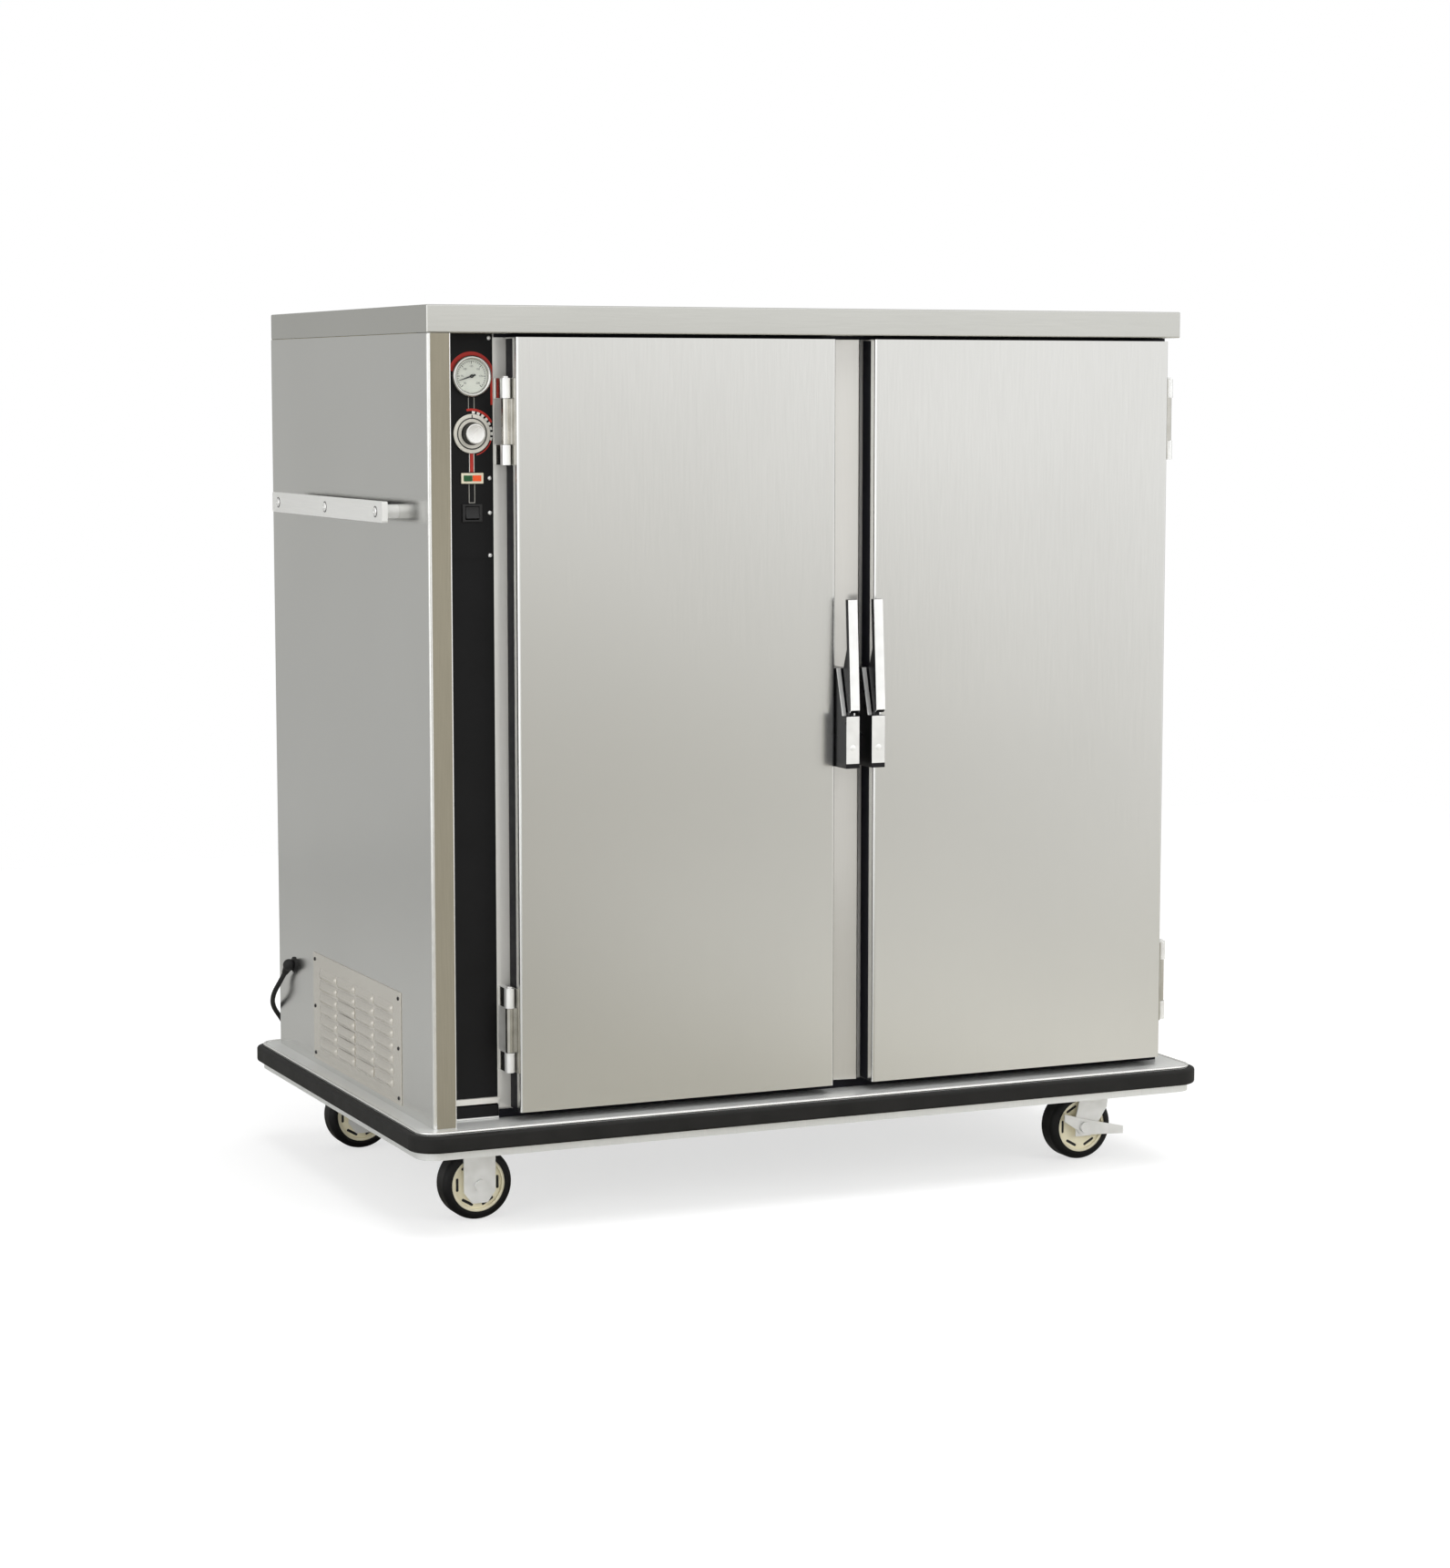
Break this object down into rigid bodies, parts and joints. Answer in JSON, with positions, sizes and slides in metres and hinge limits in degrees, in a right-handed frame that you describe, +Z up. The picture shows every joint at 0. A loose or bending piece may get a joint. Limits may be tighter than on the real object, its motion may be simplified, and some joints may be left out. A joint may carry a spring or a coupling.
{
  "type": "heated holding cabinet",
  "caption": "Mobile insulated stainless cabinet with hinged doors, edge latches, instrument column, wraparound bumper, push bars and casters, for keeping food hot.",
  "frame": {"origin": "on the floor under the middle of the bumper's outline, between the four wheels", "axes": "+X to the right of someone who faces the doors, +Y to the back, +Z up"},
  "size_m": [1.542, 1.1258, 1.578],
  "materials": {
    "stainless_satin": "satin polished stainless sheet",
    "liner_steel": "dull stainless sheet and wire",
    "bumper_rubber": "dull black extruded bumper",
    "panel_black": "satin black",
    "insulation_wool": "fibrous",
    "motor_grey": "satin grey",
    "screw_steel": "bright",
    "cord_black": "dull black",
    "handle_alloy": "satin",
    "instrument_chrome": "bright",
    "dial_face": "matte pale dial",
    "needle_black": "matte",
    "lens_glass": "clear",
    "switch_black": "moulded",
    "knob_silver": "turned",
    "light_cream": "moulded",
    "hardware_chrome": "polished castings",
    "gasket_rubber": "soft black",
    "caster_zinc": "zinc plated pressings",
    "tyre_black": "matte",
    "hub_cream": "moulded"
  },
  "bodies": {
    "cabinet": {"left_side_panel": "stainless_satin", "right_side_panel": "stainless_satin", "back_panel": "stainless_satin", "top_cap": "stainless_satin", "base_deck": "stainless_satin", "louvre_panel": "stainless_satin", "inner_liner": "liner_steel", "shelf_racks": "liner_steel", "wire_shelves": "liner_steel", "fan_cover": "liner_steel", "heater_element": "liner_steel", "bumper": "bumper_rubber", "control_panels": "panel_black", "insulation_slabs": "insulation_wool", "blower_motor": "motor_grey", "panel_screws": "screw_steel", "hinge_pins": "screw_steel", "cord_gland": "cord_black", "power_cord": "cord_black", "cord_coil": "cord_black", "power_plug": "cord_black", "push_handles": "handle_alloy", "thermometer_case": "instrument_chrome", "thermometer_dial": "dial_face", "thermometer_lens": "lens_glass", "thermostat_body": "switch_black", "switch_housing": "switch_black", "pilot_lights": "light_cream", "hinge_frame_leaves": "hardware_chrome", "latch_strikes": "hardware_chrome", "caster_mounts": "caster_zinc", "front_frame": "stainless_satin"},
    "left_door": {"left_door_skin": "stainless_satin", "left_door_inner_pan": "stainless_satin", "left_door_gasket": "gasket_rubber", "left_door_hinge_leaves": "hardware_chrome", "left_latch_body": "hardware_chrome"},
    "left_lever": {"left_latch_lever": "hardware_chrome"},
    "right_door": {"right_door_skin": "stainless_satin", "right_door_inner_pan": "stainless_satin", "right_door_gasket": "gasket_rubber", "right_door_hinge_leaves": "hardware_chrome", "right_latch_body": "hardware_chrome"},
    "right_lever": {"right_latch_lever": "hardware_chrome"},
    "knob": {"thermostat_knob": "knob_silver"},
    "needle": {"thermometer_needle": "needle_black"},
    "rocker": {"switch_rocker": "switch_black"},
    "blower": {"blower_wheel": "liner_steel"},
    "front_left_wheel": {"front_left_tyre": "tyre_black", "front_left_wheel_hub": "hub_cream"},
    "front_right_swivel": {"front_right_fork": "caster_zinc"},
    "front_right_wheel": {"front_right_tyre": "tyre_black", "front_right_wheel_hub": "hub_cream"},
    "front_right_brake": {"front_right_brake_lever": "caster_zinc"},
    "rear_left_wheel": {"rear_left_tyre": "tyre_black", "rear_left_wheel_hub": "hub_cream"},
    "rear_right_swivel": {"rear_right_fork": "caster_zinc"},
    "rear_right_wheel": {"rear_right_tyre": "tyre_black", "rear_right_wheel_hub": "hub_cream"},
    "rear_right_brake": {"rear_right_brake_lever": "caster_zinc"}
  },
  "joints": [
    {"name": "left_door_hinge", "type": "hinge", "parent": "cabinet", "child": "left_door", "pos_m": [-0.579, -0.421, 0.864], "axis": [0, 0, -1], "range_deg": [0, 135]},
    {"name": "right_door_hinge", "type": "hinge", "parent": "cabinet", "child": "right_door", "pos_m": [0.713, -0.421, 0.864], "axis": [0, 0, 1], "range_deg": [0, 180]},
    {"name": "left_lever_pull", "type": "hinge", "parent": "left_door", "child": "left_lever", "pos_m": [0.042, -0.474, 0.86], "axis": [1, 0, 0], "range_deg": [0, 20], "stiffness_Nm_per_rad": 3, "springref_deg": -5.73},
    {"name": "right_lever_pull", "type": "hinge", "parent": "right_door", "child": "right_lever", "pos_m": [0.092, -0.474, 0.86], "axis": [1, 0, 0], "range_deg": [0, 20], "stiffness_Nm_per_rad": 3, "springref_deg": -5.73},
    {"name": "thermostat_turn", "type": "hinge", "parent": "cabinet", "child": "knob", "pos_m": [-0.627, -0.3956, 1.3635], "axis": [0, 1, 0], "range_deg": [0, 270]},
    {"name": "thermometer_swing", "type": "hinge", "parent": "cabinet", "child": "needle", "pos_m": [-0.627, -0.3895, 1.46], "axis": [0, 1, 0], "range_deg": [-20, 220]},
    {"name": "switch_rock", "type": "hinge", "parent": "cabinet", "child": "rocker", "pos_m": [-0.627, -0.3841, 1.23], "axis": [1, 0, 0], "range_deg": [0, 16]},
    {"name": "blower_spin", "type": "hinge", "parent": "cabinet", "child": "blower", "pos_m": [-0.532, 0, 0.366], "axis": [1, 0, 0], "continuous": true},
    {"name": "front_left_roll", "type": "hinge", "parent": "cabinet", "child": "front_left_wheel", "pos_m": [-0.61, -0.321, 0.0635], "axis": [0, 1, 0], "continuous": true},
    {"name": "front_right_turn", "type": "hinge", "parent": "cabinet", "child": "front_right_swivel", "pos_m": [0.621, -0.321, 0.148], "axis": [0, 0, 1], "continuous": true},
    {"name": "front_right_roll", "type": "hinge", "parent": "front_right_swivel", "child": "front_right_wheel", "pos_m": [0.593, -0.321, 0.0635], "axis": [0, 1, 0], "continuous": true},
    {"name": "front_right_brake_press", "type": "hinge", "parent": "front_right_swivel", "child": "front_right_brake", "pos_m": [0.593, -0.321, 0.0635], "axis": [0, 1, 0], "range_deg": [0, 18]},
    {"name": "rear_left_roll", "type": "hinge", "parent": "cabinet", "child": "rear_left_wheel", "pos_m": [-0.61, 0.321, 0.0635], "axis": [0, 1, 0], "continuous": true},
    {"name": "rear_right_turn", "type": "hinge", "parent": "cabinet", "child": "rear_right_swivel", "pos_m": [0.621, 0.321, 0.148], "axis": [0, 0, 1], "continuous": true},
    {"name": "rear_right_roll", "type": "hinge", "parent": "rear_right_swivel", "child": "rear_right_wheel", "pos_m": [0.593, 0.321, 0.0635], "axis": [0, 1, 0], "continuous": true},
    {"name": "rear_right_brake_press", "type": "hinge", "parent": "rear_right_swivel", "child": "rear_right_brake", "pos_m": [0.593, 0.321, 0.0635], "axis": [0, 1, 0], "range_deg": [0, 18]}
  ]
}
